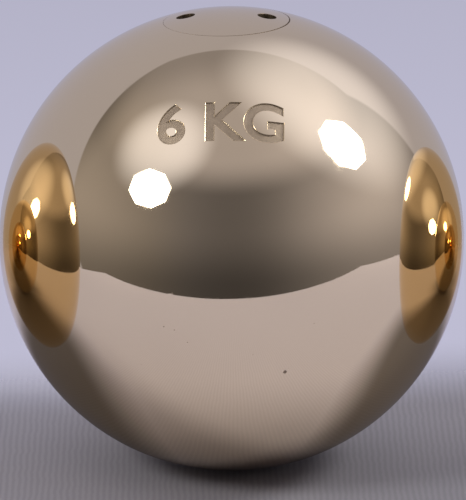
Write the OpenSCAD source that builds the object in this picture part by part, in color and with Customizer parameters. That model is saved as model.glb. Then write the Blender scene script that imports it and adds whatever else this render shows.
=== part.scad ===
// Competition shot for shot put: a thick brass shell cast full of lead and closed by a screw plug.
// The plug's domed head is turned flush with the ball and has two blind holes for a pin spanner.
// Under the plug, a pocket in the lead holds trim pellets that bring the ball to its exact weight.
// The origin is the ball's centre and +Z is the plug's axis, with the spanner holes along X.

/* [Ball] */
// Outside diameter of the ball
ball_d = 106; // [103:0.5:120]
// Thickness of the brass wall round the lead
shell_wall = 12.8; // [12:0.2:15]
// Gap that the lead leaves all round as it shrinks in the shell
core_gap = 0.1; // [0.05:0.05:0.3]

/* [Plug thread] */
// Diameter of the plug's shank and its tapped bore, taken at the middle of the thread's flanks
thread_d = 23; // [21:0.25:24]
// Gap between the shank and its bore
thread_gap = 0.06; // [0.02:0.01:0.1]
// Depth of the relief groove between the head and the thread
relief_depth = 0.9; // [0.6:0.1:1.5]
// Height of the relief groove below the washer
relief_h = 1.2; // [0.8:0.1:2]
// Chamfer on the shank's lower end and on the bore's mouth
thread_chamfer = 0.8; // [0.4:0.1:1.2]
// Gap between the shank's end and the lead
shank_end_gap = 0.3; // [0.2:0.1:0.6]

/* [Plug head] */
// How far the head stands out past the bore, all round
head_overhang = 2.75; // [2.25:0.25:4]
// Height of the straight land round the head, under its dome
head_land = 3.8; // [3.5:0.1:4.4]
// Gap round the head in its counterbore
head_gap = 0.05; // [0.02:0.01:0.1]
// Chamfer along both edges of the seam and round the spanner holes
edge_break = 0.15; // [0.05:0.05:0.4]

/* [Spanner holes] */
// Distance from the head's edge in to each hole's axis
spanner_inset = 5; // [4:0.25:6]
// Diameter of each hole
spanner_hole_d = 4.2; // [3.2:0.1:5]
// Depth of each hole's straight wall, from the ball's surface at its axis
spanner_hole_depth = 4; // [3:0.2:4.4]
// Included angle of the drill point at the bottom of each hole
drill_point = 118; // [100:1:140]

/* [Sealing washer] */
// Thickness of the washer under the head
washer_t = 1; // [0.8:0.1:1.6]
// Gap round the washer, in the counterbore and on the relief groove
washer_gap = 0.25; // [0.15:0.05:0.4]

/* [Trim pocket] */
// Diameter of a trim pellet
pellet_d = 6; // [4.5:0.25:6.5]
// Number of pellets round the middle one
pellet_count = 6; // [5:1:6]
// Gap between pellets, and between them and what they lie on
pellet_gap = 0.1; // [0.05:0.05:0.3]
// Thickness of the packing disc over the pellets
disc_t = 4; // [2.5:0.25:5]
// Gap round the packing disc in the pocket
disc_gap = 0.2; // [0.1:0.05:0.4]
// Chamfer on both edges of the packing disc
disc_chamfer = 0.6; // [0.3:0.1:1]

/* [Hidden] */
$fn = 96;
overshoot = 1;
ball_r = ball_d / 2;
cavity_r = ball_r - shell_wall;

// The head's rim, its underside and the seat that its washer lies on
bore_r = thread_d / 2;
head_r = bore_r + head_overhang;
counterbore_r = head_r + head_gap;
rim_z = sqrt(ball_r ^ 2 - head_r ^ 2);
counterbore_rim_z = sqrt(ball_r ^ 2 - counterbore_r ^ 2);
head_under_z = rim_z - head_land;
dome_cone_h = ball_r - rim_z + edge_break + overshoot;
seat_z = head_under_z - washer_t;

// The tapped bore runs from the seat through the wall to the top of the lead
shank_r = bore_r - thread_gap;
relief_r = bore_r - relief_depth;
lead_top_z = sqrt(cavity_r ^ 2 - bore_r ^ 2);
shank_end_z = lead_top_z + shank_end_gap;
thread_top_z = seat_z - relief_h;

// The spanner holes, measured from where each axis meets the ball's surface
spanner_x = head_r - spanner_inset;
spanner_hole_r = spanner_hole_d / 2;
spanner_mouth_z = sqrt(ball_r ^ 2 - spanner_x ^ 2);
spanner_floor_z = spanner_mouth_z - spanner_hole_depth;
drill_point_h = spanner_hole_r / tan(drill_point / 2);
spanner_tilt = asin(spanner_x / ball_r);

// Two layers of pellets: a full one on the pocket's floor and a ring in its hollows
pellet_r = pellet_d / 2;
ring_r = pellet_d + pellet_gap;
ring_step = 360 / pellet_count;
layer_offset = 2 * ring_r * sin(ring_step / 4);
layer_h = sqrt((pellet_d + pellet_gap) ^ 2 - layer_offset ^ 2);
pocket_r = ring_r + pellet_r + pellet_gap;
disc_r = pocket_r - disc_gap;
disc_bottom_z = lead_top_z - disc_t;
upper_layer_z = disc_bottom_z - pellet_gap - pellet_r;
lower_layer_z = upper_layer_z - layer_h;
pocket_floor_z = lower_layer_z - pellet_r - pellet_gap;

brass = [0.86, 0.71, 0.42];
lead = [0.36, 0.37, 0.39];
fibre = [0.47, 0.16, 0.11];
cork = [0.62, 0.44, 0.27];

// A cylinder about the plug's axis between two heights
module bar(r, low, high) {
    translate([0, 0, low]) cylinder(r = r, h = high - low);
}

// A cone that breaks the edge of a hole of radius r whose mouth is at height top
module mouth_chamfer(r, top, size) {
    inner_r = r - overshoot;
    cone_h = size + 2 * overshoot;
    translate([0, 0, top - size - overshoot]) cylinder(r1 = inner_r, r2 = inner_r + cone_h, h = cone_h);
}

module shell() {
    color(brass) difference() {
        sphere(ball_r);
        sphere(cavity_r);
        bar(counterbore_r, seat_z, ball_r + overshoot);
        mouth_chamfer(counterbore_r, counterbore_rim_z, edge_break);
        bar(bore_r, 0, seat_z + overshoot);
        mouth_chamfer(bore_r, seat_z, thread_chamfer);
    }
}

module lead_core() {
    color(lead) difference() {
        sphere(cavity_r - core_gap);
        bar(ball_r, lead_top_z, ball_r);
        bar(pocket_r, pocket_floor_z, ball_r);
    }
}

module pellet_ring(z, turn) {
    for (i = [0 : pellet_count - 1])
        rotate(turn + i * ring_step) translate([ring_r, 0, z]) sphere(pellet_r);
}

module trim_pellets() {
    color(lead) {
        translate([0, 0, lower_layer_z]) sphere(pellet_r);
        pellet_ring(lower_layer_z, 0);
        pellet_ring(upper_layer_z, ring_step / 2);
    }
}

module packing_disc() {
    color(cork) translate([0, 0, disc_bottom_z]) rotate_extrude() polygon([
        [0, 0],
        [disc_r - disc_chamfer, 0],
        [disc_r, disc_chamfer],
        [disc_r, disc_t - disc_chamfer],
        [disc_r - disc_chamfer, disc_t],
        [0, disc_t],
    ]);
}

module seal_washer() {
    color(fibre) difference() {
        bar(counterbore_r - washer_gap, seat_z, head_under_z);
        bar(relief_r + washer_gap, seat_z - overshoot, head_under_z + overshoot);
    }
}

// A blind hole with a drill point, drilled along the plug's axis and chamfered square to the dome
module spanner_hole() {
    translate([spanner_x, 0, 0]) rotate_extrude() polygon([
        [0, spanner_floor_z - drill_point_h],
        [spanner_hole_r, spanner_floor_z],
        [spanner_hole_r, ball_r + overshoot],
        [0, ball_r + overshoot],
    ]);
    rotate([0, spanner_tilt, 0]) mouth_chamfer(spanner_hole_r, ball_r, edge_break);
}

// The plug as turned: shank, relief groove and head, with a cone left where the dome is cut
module plug_blank() {
    rotate_extrude() polygon([
        [0, shank_end_z],
        [shank_r - thread_chamfer, shank_end_z],
        [shank_r, shank_end_z + thread_chamfer],
        [shank_r, thread_top_z],
        [relief_r, thread_top_z],
        [relief_r, head_under_z],
        [head_r, head_under_z],
        [head_r, rim_z - edge_break],
        [head_r - dome_cone_h, rim_z - edge_break + dome_cone_h],
        [0, rim_z - edge_break + dome_cone_h],
    ]);
}

module screw_plug() {
    color(brass) difference() {
        intersection() {
            plug_blank();
            sphere(ball_r);
        }
        for (turn = [0, 180]) rotate(turn) spanner_hole();
    }
}

shell();
lead_core();
trim_pellets();
packing_disc();
seal_washer();
screw_plug();
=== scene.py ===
import math
import random

import bmesh
import bpy
from mathutils import Matrix, Vector, noise


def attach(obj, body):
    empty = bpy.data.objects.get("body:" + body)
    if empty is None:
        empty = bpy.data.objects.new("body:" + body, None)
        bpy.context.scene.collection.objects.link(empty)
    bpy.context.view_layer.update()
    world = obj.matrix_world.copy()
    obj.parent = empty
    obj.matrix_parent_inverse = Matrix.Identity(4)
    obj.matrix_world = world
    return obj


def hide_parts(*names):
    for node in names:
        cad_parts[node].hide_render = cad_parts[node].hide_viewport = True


# A competition shot in polished brass, with an engraved weight mark and a threaded plug over its lead
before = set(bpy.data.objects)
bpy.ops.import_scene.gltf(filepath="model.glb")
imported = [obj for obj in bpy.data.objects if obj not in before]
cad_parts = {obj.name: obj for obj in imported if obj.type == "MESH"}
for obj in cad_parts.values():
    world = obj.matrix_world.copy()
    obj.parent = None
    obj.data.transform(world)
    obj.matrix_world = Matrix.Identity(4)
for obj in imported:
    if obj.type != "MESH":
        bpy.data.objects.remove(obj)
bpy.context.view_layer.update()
scene = bpy.context.scene
scene.view_settings.view_transform = "Standard"
scene.cycles.glossy_bounces = 8

MM = 0.001

# Sizes of the part, as in its source
BALL_R = 53 * MM
SHELL_WALL = 12.8 * MM
CORE_GAP = 0.1 * MM
BORE_R = 11.5 * MM
THREAD_GAP = 0.06 * MM
RELIEF_DEPTH = 0.9 * MM
RELIEF_H = 1.2 * MM
THREAD_CHAMFER = 0.8 * MM
SHANK_END_GAP = 0.3 * MM
HEAD_OVERHANG = 2.75 * MM
HEAD_LAND = 3.8 * MM
HEAD_GAP = 0.05 * MM
EDGE_BREAK = 0.15 * MM
SPANNER_INSET = 5 * MM
SPANNER_R = 2.1 * MM
SPANNER_DEPTH = 4 * MM
DRILL_POINT = math.radians(118)
WASHER_T = 1 * MM
WASHER_GAP = 0.25 * MM
PELLET_R = 3 * MM
PELLET_COUNT = 6
PELLET_GAP = 0.1 * MM
DISC_T = 4 * MM
DISC_GAP = 0.2 * MM
DISC_CHAMFER = 0.6 * MM

# What follows from them
CAVITY_R = BALL_R - SHELL_WALL
CORE_R = CAVITY_R - CORE_GAP
HEAD_R = BORE_R + HEAD_OVERHANG
COUNTERBORE_R = HEAD_R + HEAD_GAP
RIM_Z = math.sqrt(BALL_R ** 2 - HEAD_R ** 2)
COUNTERBORE_RIM_Z = math.sqrt(BALL_R ** 2 - COUNTERBORE_R ** 2)
HEAD_UNDER_Z = RIM_Z - HEAD_LAND
SEAT_Z = HEAD_UNDER_Z - WASHER_T
SHANK_R = BORE_R - THREAD_GAP
RELIEF_R = BORE_R - RELIEF_DEPTH
LEAD_TOP_Z = math.sqrt(CAVITY_R ** 2 - BORE_R ** 2)
SHANK_END_Z = LEAD_TOP_Z + SHANK_END_GAP
THREAD_TOP_Z = SEAT_Z - RELIEF_H
SPANNER_X = HEAD_R - SPANNER_INSET
SPANNER_FLOOR_Z = math.sqrt(BALL_R ** 2 - SPANNER_X ** 2) - SPANNER_DEPTH
DRILL_POINT_H = SPANNER_R / math.tan(DRILL_POINT / 2)
SPANNER_TILT = math.asin(SPANNER_X / BALL_R)
WASHER_OUTER_R = COUNTERBORE_R - WASHER_GAP
WASHER_INNER_R = RELIEF_R + WASHER_GAP
PELLET_STEP = 2 * math.pi / PELLET_COUNT
PELLET_RING_R = 2 * PELLET_R + PELLET_GAP
PELLET_LAYER_OFFSET = 2 * PELLET_RING_R * math.sin(PELLET_STEP / 4)
PELLET_LAYER_H = math.sqrt(PELLET_RING_R ** 2 - PELLET_LAYER_OFFSET ** 2)
POCKET_R = PELLET_RING_R + PELLET_R + PELLET_GAP
DISC_R = POCKET_R - DISC_GAP
DISC_BOTTOM_Z = LEAD_TOP_Z - DISC_T
UPPER_LAYER_Z = DISC_BOTTOM_Z - PELLET_GAP - PELLET_R
LOWER_LAYER_Z = UPPER_LAYER_Z - PELLET_LAYER_H
POCKET_FLOOR_Z = LOWER_LAYER_Z - PELLET_R - PELLET_GAP

# The fine thread that the source's plain cylinders stand for, each way from the middle of its flanks
PITCH = 1.5 * MM
THREAD_FLANK = PITCH * math.sqrt(3) / 4
THREAD_HALF_DEPTH = 0.46 * MM
RINGS_PER_PITCH = 12

# Meshes: sides of a turned piece, how near the ball its skin lies, a crisp edge's angle and a weld
SEGMENTS = 256
SKIN_NEAR = 0.002 * MM
CREASE = 30
WELD = 0.0001 * MM
# What cutting can leave behind: edges shorter than this, and loose specks of fewer faces than this
SLIVER = 0.0002 * MM
SPECK_FACES = 50

# The camera, from the ball's outline in the photograph's 466 by 500 frame
FRAME_W = 466
FRAME_H = 500
BALL_PX = (231.7, 238.4)
BALL_PX_R = 232.4
CAMERA_AZIMUTH = math.radians(6)
CAMERA_ELEVATION = math.radians(15.8)
CAMERA_ROLL = math.radians(1.4)
CAMERA_DISTANCE = 26 * BALL_R
SENSOR_W = 36
FOCAL_PX = BALL_PX_R * math.sqrt((CAMERA_DISTANCE / BALL_R) ** 2 - 1)

right = Vector((math.cos(CAMERA_AZIMUTH), math.sin(CAMERA_AZIMUTH), 0))
back = Vector((-math.sin(CAMERA_AZIMUTH), math.cos(CAMERA_AZIMUTH), 0))
up = Vector((0, 0, 1))
to_camera = up * math.sin(CAMERA_ELEVATION) - back * math.cos(CAMERA_ELEVATION)


def make_camera():
    data = bpy.data.cameras.new("camera")
    data.sensor_width = SENSOR_W
    data.lens = FOCAL_PX * SENSOR_W / FRAME_H
    data.clip_end = 20
    camera = bpy.data.objects.new("camera", data)
    scene.collection.objects.link(camera)
    turn = (-to_camera).to_track_quat("-Z", "Y").to_matrix() @ Matrix.Rotation(-CAMERA_ROLL, 3, "Z")
    px_size = CAMERA_DISTANCE / FOCAL_PX
    aside = turn @ Vector((FRAME_W / 2 - BALL_PX[0], BALL_PX[1] - FRAME_H / 2, 0)) * px_size
    camera.matrix_world = Matrix.Translation(to_camera * CAMERA_DISTANCE + aside) @ turn.to_4x4()
    scene.camera = camera


def on_ball(px, py):
    """The direction from the ball's centre to what the photograph shows at a pixel."""
    view = scene.camera.matrix_world
    eye = view.translation
    ray = view.to_3x3() @ Vector((px - FRAME_W / 2, FRAME_H / 2 - py, -FOCAL_PX)).normalized()
    reach = -ray.dot(eye)
    near = reach - math.sqrt(reach ** 2 - eye.length_squared + BALL_R ** 2)
    return (eye + ray * near).normalized()


# Node helpers
def add(tree, kind, inputs=None, **settings):
    """Makes a node; an input that is given a socket is linked to it."""
    made = tree.nodes.new(kind)
    for key, value in settings.items():
        setattr(made, key, value)
    for key, value in (inputs or {}).items():
        if isinstance(value, bpy.types.NodeSocket):
            tree.links.new(value, made.inputs[key])
        else:
            made.inputs[key].default_value = value
    return made


def calc(tree, operation, a, b=0.0):
    return add(tree, "ShaderNodeMath", {0: a, 1: b}, operation=operation).outputs[0]


def hypot(tree, a, b):
    squares = calc(tree, "ADD", calc(tree, "POWER", a, 2.0), calc(tree, "POWER", b, 2.0))
    return calc(tree, "SQRT", squares)


def along(tree, coords, axis):
    inputs = {0: coords, 1: axis}
    return add(tree, "ShaderNodeVectorMath", inputs, operation="DOT_PRODUCT").outputs["Value"]


def smooth_step(tree, value, low, high, to_low=0.0, to_high=1.0):
    inputs = {"Value": value, "From Min": low, "From Max": high, "To Min": to_low, "To Max": to_high}
    return add(tree, "ShaderNodeMapRange", inputs, interpolation_type="SMOOTHSTEP").outputs["Result"]


def tint(tree, factor, first, second):
    return add(tree, "ShaderNodeMix", {0: factor, 6: first, 7: second}, data_type="RGBA").outputs[2]


def rgb(r, g, b):
    return (r, g, b, 1)


def toned(colour, factor):
    return rgb(*[c * factor for c in colour])


def noise_of(tree, coords, scale, detail=2.0, roughness=0.5):
    inputs = {"Vector": coords, "Scale": scale, "Detail": detail, "Roughness": roughness}
    return add(tree, "ShaderNodeTexNoise", inputs).outputs["Fac"]


def object_coords(tree):
    return add(tree, "ShaderNodeTexCoord").outputs["Object"]


def stretched(tree, coords, turn, stretch):
    turned = add(tree, "ShaderNodeMapping", {"Vector": coords, "Rotation": turn}).outputs["Vector"]
    return add(tree, "ShaderNodeMapping", {"Vector": turned, "Scale": stretch}).outputs["Vector"]


def bump_of(tree, height, distance):
    inputs = {"Height": height, "Distance": distance, "Strength": 1.0}
    return add(tree, "ShaderNodeBump", inputs).outputs["Normal"]


def new_material(name, metallic=0.0):
    material = bpy.data.materials.new(name)
    material.use_nodes = True
    tree = material.node_tree
    shader = tree.nodes["Principled BSDF"]
    shader.inputs["Metallic"].default_value = metallic
    return material, tree, shader


def feed(tree, shader, **sockets):
    for name, socket in sockets.items():
        tree.links.new(socket, shader.inputs[name.replace("_", " ")])


# Materials. The lathe tool's rings are in radians per metre, and the cork's granules in cells per metre
TOOL_RINGS = 52000.0
GRANULES = 620.0


def polished_brass(name, base):
    """Mirror-bright brass with the haze of handling and a few hairline scratches."""
    material, tree, shader = new_material(name, 1.0)
    coords = object_coords(tree)
    cloud = noise_of(tree, coords, 42, 4)
    colour = tint(tree, cloud, toned(base, 0.97), toned(base, 1.03))
    haze = smooth_step(tree, noise_of(tree, coords, 85, 6, 0.6), 0.5, 0.78)
    wipe = noise_of(tree, stretched(tree, coords, (0.3, 0.2, 0.5), (40, 420, 420)), 1.0, 3)
    wipe = smooth_step(tree, wipe, 0.45, 0.75)
    first = noise_of(tree, stretched(tree, coords, (0.5, 0.4, 0.9), (22, 2600, 2600)), 1.0, 1)
    second = noise_of(tree, stretched(tree, coords, (1.1, -0.7, 0.2), (26, 3100, 3100)), 1.0, 1)
    first = smooth_step(tree, first, 0.70, 0.78)
    second = smooth_step(tree, second, 0.71, 0.79)
    hairs = calc(tree, "ADD", first, second)
    rough = smooth_step(tree, haze, 0, 1, 0.022, 0.075)
    rough = calc(tree, "ADD", rough, calc(tree, "MULTIPLY", wipe, 0.016))
    rough = calc(tree, "ADD", rough, calc(tree, "MULTIPLY", hairs, 0.03))
    swell = bump_of(tree, noise_of(tree, coords, 48, 2), 0.012 * MM)
    feed(tree, shader, Base_Color=colour, Roughness=rough, Normal=swell)
    return material


def turned_brass(name):
    """Bright machined brass with fine tool rings about the plug's axis."""
    material, tree, shader = new_material(name, 1.0)
    coords = object_coords(tree)
    parts = add(tree, "ShaderNodeSeparateXYZ", {"Vector": coords})
    out = hypot(tree, parts.outputs["X"], parts.outputs["Y"])
    feed_way = calc(tree, "ADD", out, parts.outputs["Z"])
    rings = calc(tree, "SINE", calc(tree, "MULTIPLY", feed_way, TOOL_RINGS))
    colour = tint(tree, noise_of(tree, coords, 160, 4), rgb(0.80, 0.63, 0.36), rgb(0.88, 0.71, 0.44))
    rough = smooth_step(tree, noise_of(tree, coords, 320, 3), 0.2, 0.8, 0.2, 0.34)
    feed(tree, shader, Base_Color=colour, Roughness=rough, Normal=bump_of(tree, rings, 0.0012 * MM))
    return material


def etched_brass(name):
    """The matt floor that an engraving cutter leaves, gone brown in its grain."""
    material, tree, shader = new_material(name, 1.0)
    coords = object_coords(tree)
    grain = noise_of(tree, coords, 2600, 3, 0.6)
    colour = tint(tree, noise_of(tree, coords, 520, 4), rgb(0.32, 0.25, 0.165), rgb(0.48, 0.385, 0.26))
    rough = smooth_step(tree, grain, 0.25, 0.75, 0.45, 0.62)
    feed(tree, shader, Base_Color=colour, Roughness=rough, Normal=bump_of(tree, grain, 0.03 * MM))
    return material


def drilled_brass(name):
    """Blind drilled wall, dark with old oil."""
    material, tree, shader = new_material(name, 1.0)
    coords = object_coords(tree)
    colour = tint(tree, noise_of(tree, coords, 700, 4), rgb(0.10, 0.075, 0.05), rgb(0.26, 0.195, 0.12))
    rough = smooth_step(tree, noise_of(tree, coords, 1500, 3), 0.2, 0.8, 0.4, 0.62)
    feed(tree, shader, Base_Color=colour, Roughness=rough)
    return material


def dull_lead(name, light, dark, scale):
    """Lead with the mottled grey bloom that it takes on in air."""
    material, tree, shader = new_material(name, 0.85)
    coords = object_coords(tree)
    bloom = smooth_step(tree, noise_of(tree, coords, scale, 6, 0.6), 0.3, 0.7)
    grain = noise_of(tree, coords, scale * 9, 4)
    rough = smooth_step(tree, bloom, 0, 1, 0.38, 0.62)
    feed(tree, shader, Base_Color=tint(tree, bloom, light, dark), Roughness=rough,
         Normal=bump_of(tree, grain, 0.05 * MM))
    return material


def red_fibre(name):
    """Vulcanised fibre: dull red board with paper fibres in it."""
    material, tree, shader = new_material(name)
    coords = object_coords(tree)
    fibres = noise_of(tree, stretched(tree, coords, (0, 0, 0.6), (500, 4200, 2500)), 1.0, 4)
    specks = smooth_step(tree, noise_of(tree, coords, 1800, 2), 0.62, 0.72)
    base = tint(tree, fibres, rgb(0.27, 0.055, 0.035), rgb(0.42, 0.11, 0.07))
    colour = tint(tree, specks, base, rgb(0.50, 0.22, 0.14))
    feed(tree, shader, Base_Color=colour, Roughness=smooth_step(tree, fibres, 0.2, 0.8, 0.62, 0.8),
         Normal=bump_of(tree, fibres, 0.03 * MM))
    return material


def pressed_cork(name):
    """Agglomerated cork: granules of several browns in a darker binder."""
    material, tree, shader = new_material(name)
    coords = object_coords(tree)
    inputs = {"Vector": coords, "Scale": GRANULES}
    cells = add(tree, "ShaderNodeTexVoronoi", inputs)
    edges = add(tree, "ShaderNodeTexVoronoi", inputs, feature="DISTANCE_TO_EDGE")
    tone = add(tree, "ShaderNodeSeparateColor", {"Color": cells.outputs["Color"]}).outputs[0]
    granules = tint(tree, tone, rgb(0.36, 0.20, 0.095), rgb(0.64, 0.43, 0.24))
    binder = smooth_step(tree, edges.outputs["Distance"], 0.01, 0.07)
    feed(tree, shader, Base_Color=tint(tree, binder, rgb(0.16, 0.085, 0.04), granules),
         Roughness=smooth_step(tree, tone, 0, 1, 0.8, 0.95), Normal=bump_of(tree, binder, 0.08 * MM))
    return material


# Mesh helpers
def link(name, mesh):
    piece = bpy.data.objects.new(name, mesh)
    scene.collection.objects.link(piece)
    return piece


def lathe(name, rings, segments=SEGMENTS):
    """Turns a profile about Z. A ring is (radius, height), and either may be a function of the angle."""
    verts = []
    faces = []
    starts = []
    for radius, z in rings:
        starts.append(len(verts))
        if radius == 0:
            verts.append((0, 0, z))
            continue
        for i in range(segments):
            angle = 2 * math.pi * i / segments
            r = radius(angle) if callable(radius) else radius
            h = z(angle) if callable(z) else z
            verts.append((r * math.cos(angle), r * math.sin(angle), h))
    for k in range(len(rings) - 1):
        low = starts[k]
        high = starts[k + 1]
        for i in range(segments):
            j = (i + 1) % segments
            if rings[k][0] == 0:
                faces.append((low, high + j, high + i))
            elif rings[k + 1][0] == 0:
                faces.append((low + i, low + j, high))
            else:
                faces.append((low + i, low + j, high + j, high + i))
    mesh = bpy.data.meshes.new(name)
    mesh.from_pydata(verts, [], faces)
    return link(name, mesh)


def arc(radius, start, end, count):
    """Rings of a ball between two angles from +Z, both ends included."""
    rings = []
    for i in range(count + 1):
        angle = start + (end - start) * i / count
        r = radius * math.sin(angle)
        rings.append((0 if r < 1e-9 else r, radius * math.cos(angle)))
    return rings


def thread_wave(z, angle):
    """Height of a right-hand thread's flank over its middle line."""
    turn = z / PITCH - angle / (2 * math.pi)
    saw = 4 * abs(turn - math.floor(turn) - 0.5) - 1
    return max(-THREAD_HALF_DEPTH, min(THREAD_HALF_DEPTH, THREAD_FLANK * saw))


def bore_ring(z):
    countersink = BORE_R + THREAD_CHAMFER - (SEAT_Z - z)
    return (lambda angle: max(BORE_R + thread_wave(z, angle), countersink), z)


def shank_ring(z):
    lead_in = SHANK_R - THREAD_CHAMFER + (z - SHANK_END_Z)
    return (lambda angle: min(SHANK_R + thread_wave(z, angle), lead_in), z)


def heights(low, high):
    count = math.ceil((high - low) / PITCH * RINGS_PER_PITCH)
    return [low + (high - low) * i / count for i in range(count + 1)]


def specks(shape):
    """Faces of the loose specks in a mesh."""
    waiting = set(shape.faces)
    found = []
    while waiting:
        island = [waiting.pop()]
        for face in island:
            around = {other for edge in face.edges for other in edge.link_faces} & waiting
            waiting -= around
            island.extend(around)
        if len(island) < SPECK_FACES:
            found += island
    return found


def cut(piece, *cutters):
    """Takes the cutters out of a piece, and keeps their material on the faces that they leave."""
    for cutter in cutters:
        modifier = piece.modifiers.new("cut", "BOOLEAN")
        modifier.operation = "DIFFERENCE"
        modifier.solver = "MANIFOLD"
        modifier.material_mode = "TRANSFER"
        modifier.object = cutter
    view = bpy.context.evaluated_depsgraph_get()
    mesh = bpy.data.meshes.new_from_object(piece.evaluated_get(view))
    piece.modifiers.clear()
    shape = bmesh.new()
    shape.from_mesh(mesh)
    short = [edge for edge in shape.edges if edge.calc_length() < SLIVER]
    bmesh.ops.collapse(shape, edges=short)
    bmesh.ops.delete(shape, geom=specks(shape), context="FACES")
    shape.to_mesh(mesh)
    shape.free()
    piece.data = mesh
    for cutter in cutters:
        bpy.data.objects.remove(cutter)


def smooth(mesh, crease=CREASE):
    mesh.shade_smooth()
    mesh.set_sharp_from_angle(angle=math.radians(crease))


def on_skin(mesh, face):
    return all(abs(mesh.vertices[v].co.length - BALL_R) < SKIN_NEAR for v in face.vertices)


def finish_normals(piece):
    """Smooth shading with crisp edges, and the exact ball's normals on its polished skin."""
    mesh = piece.data
    smooth(mesh)
    normals = [Vector(corner.vector) for corner in mesh.corner_normals]
    for face in mesh.polygons:
        if on_skin(mesh, face) and face.normal.dot(face.center) > 0:
            corners = [mesh.vertices[v].co for v in face.vertices]
            for index, corner in zip(face.loop_indices, corners):
                normals[index] = corner.normalized()
    mesh.normals_split_custom_set([tuple(n) for n in normals])


def put(piece, node, body):
    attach(piece, body)
    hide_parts(node)


# The seam's broken edges, which polishing has all but closed on one side
WEAR_TURN = math.radians(12)
LEAST_EDGE = 0.012 * MM
MOST_RIM = 0.148 * MM
MOST_PLUG_EDGE = 0.058 * MM
GRIMY_WEAR = 0.06


def wear(angle):
    return (0.5 + 0.5 * math.cos(angle + WEAR_TURN)) ** 3


def rim_width(angle):
    return LEAST_EDGE + MOST_RIM * wear(angle)


def plug_edge(angle):
    return LEAST_EDGE + MOST_PLUG_EDGE * wear(angle)


def plug_outer(angle):
    return HEAD_R - plug_edge(angle) / (1 - HEAD_R / RIM_Z)


def plug_outer_z(angle):
    return math.sqrt(BALL_R ** 2 - plug_outer(angle) ** 2)


def plug_inner_z(angle):
    return RIM_Z - plug_edge(angle)


def rim_outer(angle):
    return COUNTERBORE_R + rim_width(angle)


def rim_outer_z(angle):
    return math.sqrt(BALL_R ** 2 - rim_outer(angle) ** 2)


def rim_inner_z(angle):
    return COUNTERBORE_RIM_Z - rim_width(angle)


def paint(piece, finishes, rim_z):
    """Skin on the ball's surface and tool marks inside it. Only the seam's wider edges hold grime."""
    mesh = piece.data
    for finish in finishes:
        mesh.materials.append(finish)
    for face in mesh.polygons:
        polished = on_skin(mesh, face)
        face.material_index = 0 if polished else 1
        if not polished and face.center.z > rim_z - EDGE_BREAK:
            grimy = wear(math.atan2(face.center.y, face.center.x)) > GRIMY_WEAR
            face.material_index = 2 if grimy else 0


# The shell, with its tapped bore and its engraved mark
def make_shell(skin, machined, grime, floor):
    rings = arc(BALL_R, math.pi, math.asin((COUNTERBORE_R + 2 * EDGE_BREAK) / BALL_R), 128)
    rings.append((rim_outer, rim_outer_z))
    rings.append((COUNTERBORE_R, rim_inner_z))
    rings.append((COUNTERBORE_R, (SEAT_Z + COUNTERBORE_RIM_Z) / 2))
    rings.append((COUNTERBORE_R, SEAT_Z))
    rings += [bore_ring(z) for z in reversed(heights(LEAD_TOP_Z, SEAT_Z))]
    rings += arc(CAVITY_R, math.asin((BORE_R + THREAD_CHAMFER) / CAVITY_R), math.pi, 40)
    shell = lathe("shell_ball", rings)
    paint(shell, (skin, machined, grime), COUNTERBORE_RIM_Z)
    lip = weight_mark("lip_cutter", machined, LIP_DEPTH, LIP_ABOVE, LIP_ROUND)
    mark = weight_mark("mark_cutter", floor, MARK_DEPTH, MARK_ABOVE, MARK_FILLET)
    cut(shell, lip, mark, pits(floor, skin))
    finish_normals(shell)
    return shell


# The weight mark in mm, bent round the ball: straight walls, a fillet along its floor and a rounded lip
MARK_PX = (221, 123)
MARK_SIZE = 13.4
MARK_BOLD = 0.20
MARK_DEPTH = 0.32
MARK_ABOVE = 0.30
MARK_FILLET = 0.10
LIP_DEPTH = 0.12
LIP_ABOVE = 0.60
LIP_ROUND = 0.25
MARK_REACH = 14
MARK_WELD = 1e-4
MARK_SNAP = 1e-5


def weight_mark(name, finish, depth, above, fillet):
    """A cutter for the mark, sliced every mm so that it bends."""
    text = bpy.data.curves.new(name, "FONT")
    text.body = "6 KG"
    text.size = MARK_SIZE
    text.align_x = "CENTER"
    text.align_y = "CENTER"
    text.offset = MARK_BOLD
    text.extrude = (depth + above) / 2 - fillet
    text.bevel_depth = fillet
    text.bevel_resolution = 2
    text.resolution_u = 8
    written = link(name, text)
    view = bpy.context.evaluated_depsgraph_get()
    mesh = bpy.data.meshes.new_from_object(written.evaluated_get(view))
    bpy.data.objects.remove(written)
    shape = bmesh.new()
    shape.from_mesh(mesh)
    bmesh.ops.remove_doubles(shape, verts=shape.verts, dist=MARK_WELD)
    for axis in (Vector((1, 0, 0)), Vector((0, 1, 0))):
        for step in range(-MARK_REACH, MARK_REACH + 1):
            all_of_it = shape.verts[:] + shape.edges[:] + shape.faces[:]
            bmesh.ops.bisect_plane(
                shape, geom=all_of_it, dist=MARK_SNAP, plane_co=axis * step, plane_no=axis)
    middle = on_ball(*MARK_PX)
    across = up.cross(middle).normalized()
    upward = middle.cross(across)
    for vert in shape.verts:
        flat = (across * vert.co.x + upward * vert.co.y) * MM
        turn = flat.length / BALL_R
        out = middle * math.cos(turn) + (flat.normalized() * math.sin(turn) if turn > 0 else Vector())
        vert.co = out * (BALL_R + (vert.co.z + (above - depth) / 2) * MM)
    bmesh.ops.recalc_face_normals(shape, faces=shape.faces)
    shape.to_mesh(mesh)
    shape.free()
    mesh.materials.clear()
    mesh.materials.append(finish)
    return link(name, mesh)


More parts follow.
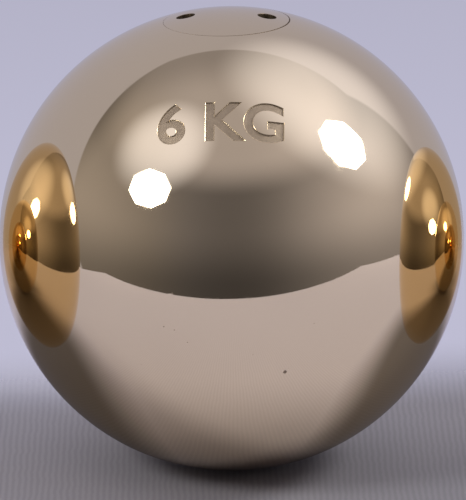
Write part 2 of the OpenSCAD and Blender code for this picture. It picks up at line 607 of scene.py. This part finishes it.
# Small pits in the polished skin, as a thrown ball picks up: pixel, width and depth in mm.
# The far side has more, at random.
PITS = [
    ((285, 372), 0.85, 0.20),
    ((288.5, 369), 0.45, 0.05),
    ((253, 354), 0.45, 0.05),
    ((187.5, 342), 0.42, 0.06),
    ((164, 326), 0.40, 0.05),
    ((174.5, 329.5), 0.42, 0.06),
    ((172, 293.5), 0.42, 0.07),
    ((314, 323), 0.40, 0.04),
    ((141, 365), 0.38, 0.04),
]
DEEP_PIT = 0.065
FAR_PITS = 16


def in_order(elements, place):
    """Sorts parts of a mesh by where they are, so that every run has them in the same order."""
    for index, element in enumerate(sorted(elements, key=lambda element: tuple(place(element)))):
        element.index = index
    elements.sort()


def pits(floor, skin):
    """Cutters for the pits. A deep one is matt inside, and a shallow dent is as bright as the skin."""
    rng = random.Random(7)
    marks = [(on_ball(*px), width, depth) for px, width, depth in PITS]
    for _ in range(FAR_PITS):
        z = rng.uniform(-0.9, 0.9)
        a = rng.uniform(0.5, 1.5) * math.pi + CAMERA_AZIMUTH - math.pi / 2
        out = Vector((math.cos(a) * math.sqrt(1 - z * z), math.sin(a) * math.sqrt(1 - z * z), z))
        marks.append((out, rng.uniform(0.35, 0.6), rng.uniform(0.04, 0.10)))
    shape = bmesh.new()
    for out, width, depth in marks:
        r = (width * width / 4 + depth * depth) / (2 * depth) * MM
        place = Matrix.Translation(out * (BALL_R + r - depth * MM))
        place = place @ out.to_track_quat("Z", "Y").to_matrix().to_4x4()
        ball = bmesh.ops.create_uvsphere(shape, u_segments=20, v_segments=32, radius=r, matrix=place)
        for face in {face for vert in ball["verts"] for face in vert.link_faces}:
            face.material_index = 0 if depth > DEEP_PIT else 1
    in_order(shape.verts, lambda vert: vert.co)
    in_order(shape.faces, lambda face: face.calc_center_median())
    mesh = bpy.data.meshes.new("pits")
    shape.to_mesh(mesh)
    shape.free()
    mesh.materials.append(floor)
    mesh.materials.append(skin)
    return link("pit_cutter", mesh)


# The screw plug, with its thread, relief groove, domed head and two spanner holes
def spanner_cutters(side, wall):
    hole = lathe("hole", [
        (0, SPANNER_FLOOR_Z - DRILL_POINT_H),
        (SPANNER_R, SPANNER_FLOOR_Z),
        (SPANNER_R, BALL_R + MM),
        (0, BALL_R + MM),
    ], 64)
    hole.data.transform(Matrix.Translation((side * SPANNER_X, 0, 0)))
    mouth = lathe("mouth", [
        (0, BALL_R - EDGE_BREAK - MM),
        (SPANNER_R - MM, BALL_R - EDGE_BREAK - MM),
        (SPANNER_R + MM, BALL_R - EDGE_BREAK + MM),
        (0, BALL_R - EDGE_BREAK + MM),
    ], 64)
    mouth.data.transform(Matrix.Rotation(side * SPANNER_TILT, 4, "Y"))
    for cutter in (hole, mouth):
        cutter.data.materials.append(wall)
    return [hole, mouth]


def make_plug(skin, machined, wall):
    rings = [(0, SHANK_END_Z), (RELIEF_R * 0.5, SHANK_END_Z)]
    rings += [shank_ring(z) for z in heights(SHANK_END_Z, THREAD_TOP_Z)]
    rings.append((RELIEF_R + 0.2 * MM, THREAD_TOP_Z))
    rings.append((RELIEF_R, THREAD_TOP_Z + 0.2 * MM))
    rings.append((RELIEF_R, HEAD_UNDER_Z - 0.2 * MM))
    rings.append((RELIEF_R + 0.2 * MM, HEAD_UNDER_Z))
    rings.append((HEAD_R - EDGE_BREAK, HEAD_UNDER_Z))
    rings.append((HEAD_R, HEAD_UNDER_Z + EDGE_BREAK))
    rings.append((HEAD_R, (HEAD_UNDER_Z + RIM_Z) / 2))
    rings.append((HEAD_R, plug_inner_z))
    rings.append((plug_outer, plug_outer_z))
    rings += arc(BALL_R, math.asin((HEAD_R - 2 * EDGE_BREAK) / BALL_R), 0, 28)
    plug = lathe("plug_body", rings)
    paint(plug, (skin, machined, wall), RIM_Z)
    cut(plug, *spanner_cutters(1, wall), *spanner_cutters(-1, wall))
    finish_normals(plug)
    return plug


# The washer, with the soft edges of stamped fibre board
def make_washer(board):
    soft = 0.12 * MM
    rings = [
        (WASHER_INNER_R + soft, SEAT_Z),
        (WASHER_OUTER_R - soft, SEAT_Z),
        (WASHER_OUTER_R, SEAT_Z + soft),
        (WASHER_OUTER_R, HEAD_UNDER_Z - soft),
        (WASHER_OUTER_R - soft, HEAD_UNDER_Z),
        (WASHER_INNER_R + soft, HEAD_UNDER_Z),
        (WASHER_INNER_R, HEAD_UNDER_Z - soft),
        (WASHER_INNER_R, SEAT_Z + soft),
        (WASHER_INNER_R + soft, SEAT_Z),
    ]
    washer = lathe("washer_ring", rings, 128)
    shape = bmesh.new()
    shape.from_mesh(washer.data)
    bmesh.ops.remove_doubles(shape, verts=shape.verts, dist=WELD)
    shape.to_mesh(washer.data)
    shape.free()
    washer.data.materials.append(board)
    smooth(washer.data)
    return washer


def rough_in(piece, depth, scale, seed):
    """Sinks a piece's surface unevenly, never outwards."""
    shift = Vector((seed * 3.1, seed * 1.7, seed * 2.3))
    normals = [vert.normal.copy() for vert in piece.data.vertices]
    for vert, normal in zip(piece.data.vertices, normals):
        sink = 0.5 + 0.5 * noise.noise(vert.co * scale + shift)
        vert.co -= normal * depth * max(0.0, min(1.0, sink))


# What the plug closes in: the lead, its trim pellets and the cork over them
def make_lead(metal):
    rings = arc(CORE_R, math.pi, math.acos(LEAD_TOP_Z / CORE_R), 56)
    rings += [(POCKET_R + (rings[-1][0] - POCKET_R) * (3 - i) / 4, LEAD_TOP_Z) for i in range(4)]
    depth = POCKET_FLOOR_Z - LEAD_TOP_Z
    rings += [(POCKET_R, LEAD_TOP_Z + depth * (i + 1) / 12) for i in range(12)]
    rings += [(POCKET_R * (5 - i) / 6, POCKET_FLOOR_Z) for i in range(6)]
    lead = lathe("lead_fill", rings, 128)
    rough_in(lead, 0.06 * MM, 240, 1)
    lead.data.materials.append(metal)
    smooth(lead.data, 40)
    return lead


PELLET_DENT = 0.04 * MM
PELLET_SEAM = 0.03 * MM


def make_pellets(metal):
    """Cast pellets, each with shallow dents and a raised seam, inside the source's balls."""
    places = [Vector((0, 0, LOWER_LAYER_Z))]
    for z, turn in ((LOWER_LAYER_Z, 0), (UPPER_LAYER_Z, PELLET_STEP / 2)):
        for i in range(PELLET_COUNT):
            a = turn + PELLET_STEP * i
            places.append(Vector((PELLET_RING_R * math.cos(a), PELLET_RING_R * math.sin(a), z)))
    rng = random.Random(3)
    shape = bmesh.new()
    for place in places:
        made = bmesh.ops.create_icosphere(shape, subdivisions=4, radius=PELLET_R)["verts"]
        turn = Vector([rng.uniform(-1, 1) for _ in range(3)]).normalized()
        shift = Vector([rng.uniform(-9, 9) for _ in range(3)])
        for vert in made:
            out = vert.co.normalized()
            dent = PELLET_DENT * (0.5 + 0.5 * noise.noise(out * 1.6 + shift))
            seam = PELLET_SEAM * math.exp(-(out.dot(turn) / 0.05) ** 2)
            vert.co = place + out * (PELLET_R - dent - PELLET_SEAM + seam)
    mesh = bpy.data.meshes.new("pellets")
    shape.to_mesh(mesh)
    shape.free()
    mesh.materials.append(metal)
    mesh.shade_smooth()
    return link("pellets", mesh)


def make_disc(cork):
    top = DISC_BOTTOM_Z + DISC_T
    rings = [(DISC_R * i / 30, DISC_BOTTOM_Z) for i in range(28)]
    rings.append((DISC_R - DISC_CHAMFER, DISC_BOTTOM_Z))
    low = DISC_BOTTOM_Z + DISC_CHAMFER
    rings += [(DISC_R, low + (DISC_T - 2 * DISC_CHAMFER) * i / 10) for i in range(11)]
    rings.append((DISC_R - DISC_CHAMFER, top))
    rings += [(DISC_R * (27 - i) / 30, top) for i in range(28)]
    disc = lathe("cork_disc", rings, 160)
    rough_in(disc, 0.14 * MM, 900, 2)
    disc.data.materials.append(cork)
    smooth(disc.data, 35)
    return disc


# The stage: a pale floor, two octagonal soft boxes and two convex gold reflectors beside the ball
FLOOR_LEFT = 0.50
FLOOR_RIGHT = 0.52
FLOOR_FRONT = 0.27
FLOOR_BACK = 0.60
PALE = (0.53, 0.52, 0.615)
# Painted shade: the camera sees the floor in this darker, greyer copy of PALE, the colour that metal
# mirrors
FLOOR_GREY = (0.43, 0.417, 0.43)
CLOTH_RIB = 1.4 * MM
BACKGROUND = (0.515, 0.505, 0.645)
# Painted shadows on the floor, beside the ball and under it, that metal mirrors and the camera doesn't
# see
# Shade that metal sees on the floor, in ball radii: place, sideways squeeze, start, end and least light
FLOOR_SHADES = (
    (-1.25, 0.5, 0.36, 0.96, 0.18),
    (1.25, 0.5, 0.40, 0.92, 0.19),
    (0.0, 1.0, 0.1, 1.4, 0.34),
)
SHADE_STRETCH = 0.52
SHADED_FLOOR = (0.04, 0.03, 0.01)


def sheet(name, corners):
    mesh = bpy.data.meshes.new(name)
    mesh.from_pydata([tuple(c) for c in corners], [], [tuple(range(len(corners)))])
    piece = link(name, mesh)
    return piece


def make_floor():
    """Ribbed cloth. It fades into the backdrop, for the camera nearer than for what metal mirrors. What
    metal mirrors has painted shadows beside and under the ball, and what the camera sees has a painted
    shade.
    """
    spots = (
        (-FLOOR_LEFT, -FLOOR_FRONT),
        (FLOOR_RIGHT, -FLOOR_FRONT),
        (FLOOR_RIGHT, FLOOR_BACK),
        (-FLOOR_LEFT, FLOOR_BACK),
    )
    floor = sheet("floor", [right * x + back * y - up * BALL_R for x, y in spots])
    material, tree, shader = new_material("floor_cloth")
    shader.inputs["Roughness"].default_value = 0.9
    shader.inputs["Specular IOR Level"].default_value = 0.1
    coords = object_coords(tree)
    aside = along(tree, coords, right / BALL_R)
    behind = along(tree, coords, back / BALL_R)
    seen = add(tree, "ShaderNodeLightPath").outputs["Is Camera Ray"]

    wander = calc(tree, "MULTIPLY", noise_of(tree, coords, 130, 3), 5.0)
    ribs = calc(tree, "MULTIPLY", aside, 2 * math.pi * BALL_R / CLOTH_RIB)
    ribs = calc(tree, "SINE", calc(tree, "ADD", ribs, wander))
    thread = smooth_step(tree, calc(tree, "ADD", ribs, noise_of(tree, coords, 300, 4)), -0.6, 1.6)

    mirrored = tint(tree, thread, toned(PALE, 0.94), rgb(*PALE))
    # Painted shadow: the floor that metal mirrors goes dark in patches beside and under the ball
    shade = 1.0
    depth = calc(tree, "MULTIPLY", behind, SHADE_STRETCH)
    depth = calc(tree, "MAXIMUM", depth, calc(tree, "MULTIPLY", behind, -1.0))
    for place, squeeze, start, end, least in FLOOR_SHADES:
        across = calc(tree, "MULTIPLY", calc(tree, "SUBTRACT", aside, place), squeeze)
        gap = hypot(tree, across, depth)
        shade = calc(tree, "MINIMUM", shade, smooth_step(tree, gap, start, end, least, 1.0))
    mirrored = tint(tree, shade, rgb(*SHADED_FLOOR), mirrored)

    viewed = tint(tree, thread, toned(FLOOR_GREY, 0.88), rgb(*FLOOR_GREY))
    # Painted shade: the floor that the camera sees darkens towards the right and towards the front
    dim = smooth_step(tree, behind, -0.4, 0.6, 0.42, 0.22)
    dim = calc(tree, "MULTIPLY", smooth_step(tree, aside, -1.1, 1.1), dim)
    viewed = tint(tree, dim, viewed, rgb(0, 0, 0))
    feed(tree, shader, Base_Color=tint(tree, seen, mirrored, viewed))

    reach = add(tree, "ShaderNodeVectorMath", {0: coords}, operation="LENGTH").outputs["Value"]
    far = smooth_step(tree, reach, 0.16, 0.26)
    far = calc(tree, "MAXIMUM", smooth_step(tree, behind, 0.66, 1.8), far)
    far = calc(tree, "MULTIPLY", far, seen)
    gone = calc(tree, "MAXIMUM", far, smooth_step(tree, behind, 2.5, 5.0))
    clear = add(tree, "ShaderNodeBsdfTransparent").outputs["BSDF"]
    mixed = add(tree, "ShaderNodeMixShader", {0: gone, 1: shader.outputs["BSDF"], 2: clear}).outputs[0]
    tree.links.new(mixed, tree.nodes["Material Output"].inputs["Surface"])
    floor.data.materials.append(material)


def soft_box(name, side, front, height, width, tall, strength):
    """An octagonal soft box a metre off, in a direction along the camera's right, front and up."""
    out = (right * side - back * front + up * height).normalized()
    turn = out.to_track_quat("Z", "Y").to_matrix()
    angles = [math.pi * (i + 0.5) / 4 for i in range(8)]
    corners = [Vector((math.cos(a) * width, math.sin(a) * tall, 0)) / 2 for a in angles]
    box = sheet(name, [out + turn @ corner for corner in corners])
    box.visible_camera = False
    material, tree, shader = new_material(name)
    shader.inputs["Base Color"].default_value = rgb(0, 0, 0)
    shader.inputs["Emission Color"].default_value = rgb(1.0, 0.985, 1.03)
    inputs = {0: object_coords(tree), 1: out}
    reach = add(tree, "ShaderNodeVectorMath", inputs, operation="DISTANCE").outputs["Value"]
    bright = 0.32 * min(width, tall)
    rim = 0.5 * max(width, tall)
    fall = smooth_step(tree, reach, bright, rim, strength, strength * 0.25)
    tree.links.new(fall, shader.inputs["Emission Strength"])
    box.data.materials.append(material)


def reflector_gold(name):
    """Deeper gold, with a faint glow in place of the mirrorings past the last bounce."""
    material = polished_brass(name, (0.80, 0.59, 0.31))
    shader = material.node_tree.nodes["Principled BSDF"]
    shader.inputs["Emission Color"].default_value = rgb(0.9, 0.45, 0.14)
    shader.inputs["Emission Strength"].default_value = 0.006
    return material


def gold_reflector(name, place, radius, metal):
    """A convex mirror clear of the part, in ball radii along the camera's right, back and up."""
    middle = (right * place[0] + back * place[1] + up * place[2]) * BALL_R
    dish = lathe(name, arc(BALL_R * radius, math.pi, 0, 64), 128)
    dish.data.transform(Matrix.Translation(middle))
    dish.data.shade_smooth()
    dish.data.materials.append(metal)
    dish.visible_camera = False
    dish.visible_shadow = False
    dish.visible_diffuse = False


# Lamplight that spills past the soft boxes: direction, amount, and cosines where it starts and is full
LAMP_SPILLS = (
    ((-0.491, -0.315, 0.812), 0.50, 0.90, 0.999),
    ((0.593, 0.229, 0.771), 0.45, 0.743, 0.978),
)


def make_world():
    """Pale to the camera. Metal sees the same colour behind, and a dim studio above and in front."""
    world = bpy.data.worlds.new("studio")
    world.use_nodes = True
    scene.world = world
    tree = world.node_tree
    dim = tree.nodes["Background"]
    aim = add(tree, "ShaderNodeTexCoord").outputs["Generated"]
    x = along(tree, aim, right)
    y = along(tree, aim, back)
    z = along(tree, aim, up)

    lift = calc(tree, "MULTIPLY", calc(tree, "MAXIMUM", calc(tree, "SUBTRACT", -0.3, x), 0.0), 0.3)
    top = calc(tree, "SUBTRACT", calc(tree, "ADD", calc(tree, "MULTIPLY", y, 1.57), lift), z)
    side = calc(tree, "SUBTRACT", calc(tree, "MULTIPLY", y, 0.9), calc(tree, "MULTIPLY", x, 0.6))
    cloth = smooth_step(tree, calc(tree, "MINIMUM", top, side), -0.02, 0.02)

    wide = calc(tree, "POWER", calc(tree, "ABSOLUTE", x), 2.0)
    walls = calc(tree, "MULTIPLY", wide, smooth_step(tree, x, -0.2, 0.6, 0.25, 0.41))
    ceiling = calc(tree, "MULTIPLY", smooth_step(tree, z, 0.58, 0.82, 0.0, 0.285),
                   smooth_step(tree, x, -0.75, -0.15, 0.55, 1.0))
    grey = calc(tree, "ADD", calc(tree, "ADD", ceiling, walls), 0.115)
    grey = calc(tree, "ADD", grey, smooth_step(tree, y, 0.0, 0.5, 0.0, -0.14))
    grey = calc(tree, "MULTIPLY", grey, smooth_step(tree, z, -0.15, 0.35, 0.45, 1.0))

    spills = 0.0
    for spot, amount, low, high in LAMP_SPILLS:
        aimed = (right * spot[0] + back * spot[1] + up * spot[2]).normalized()
        spill = smooth_step(tree, along(tree, aim, aimed), low, high)
        spills = calc(tree, "ADD", spills, calc(tree, "MULTIPLY", spill, amount))
    tone = add(tree, "ShaderNodeCombineColor", {
        0: grey,
        1: calc(tree, "MULTIPLY", grey, smooth_step(tree, x, -0.75, -0.25, 0.92, 0.95)),
        2: calc(tree, "MULTIPLY", grey, smooth_step(tree, x, -0.75, -0.25, 0.99, 1.13)),
    }).outputs["Color"]
    unlit = tint(tree, cloth, tone, toned(BACKGROUND, 0.78))
    spilt = add(tree, "ShaderNodeCombineColor", {
        0: spills,
        1: calc(tree, "MULTIPLY", spills, 1.05),
        2: calc(tree, "MULTIPLY", spills, 1.36),
    }).outputs["Color"]
    lit = add(tree, "ShaderNodeVectorMath", {0: unlit, 1: spilt}, operation="ADD").outputs["Vector"]
    tree.links.new(lit, dim.inputs["Color"])

    # Painted shade: the backdrop that the camera sees is darker for views nearer the horizon
    higher = smooth_step(tree, z, -0.28, -0.20)
    backdrop = tint(tree, higher, rgb(*BACKGROUND), toned(BACKGROUND, 0.84))
    plain = add(tree, "ShaderNodeBackground", {"Color": backdrop}).outputs[0]
    seen = add(tree, "ShaderNodeLightPath").outputs["Is Camera Ray"]
    mixed = add(tree, "ShaderNodeMixShader", {0: seen, 1: dim.outputs[0], 2: plain}).outputs[0]
    tree.links.new(mixed, tree.nodes["World Output"].inputs["Surface"])


make_camera()
skin = polished_brass("polished_brass", (0.915, 0.755, 0.495))
plug_skin = polished_brass("plug_brass", (0.905, 0.745, 0.490))
machined = turned_brass("turned_brass")
etched = etched_brass("etched_brass")
drilled = drilled_brass("drilled_brass")
put(make_shell(skin, machined, drilled, etched), "shell", "ball")
put(make_plug(plug_skin, machined, drilled), "screw_plug", "plug")
put(make_washer(red_fibre("red_fibre")), "seal_washer", "washer")
cast = dull_lead("cast_lead", rgb(0.34, 0.35, 0.38), rgb(0.20, 0.205, 0.22), 120)
put(make_lead(cast), "lead_core", "ball")
shot = dull_lead("lead_shot", rgb(0.40, 0.41, 0.44), rgb(0.24, 0.245, 0.26), 500)
put(make_pellets(shot), "trim_pellets", "ball")
put(make_disc(pressed_cork("packing_cork")), "packing_disc", "ball")

make_floor()
make_world()
soft_box("soft_box_left", -0.613, 0.553, 0.565, 0.385, 0.31, 15.5)
soft_box("soft_box_right", 0.751, 0.090, 0.655, 0.40, 0.40, 15.5)
gold = reflector_gold("reflector_gold")
gold_reflector("gold_left", (-2.465, 0.152, -0.078), 1.237, gold)
gold_reflector("gold_right", (2.244, 0.318, -0.236), 1.05, gold)
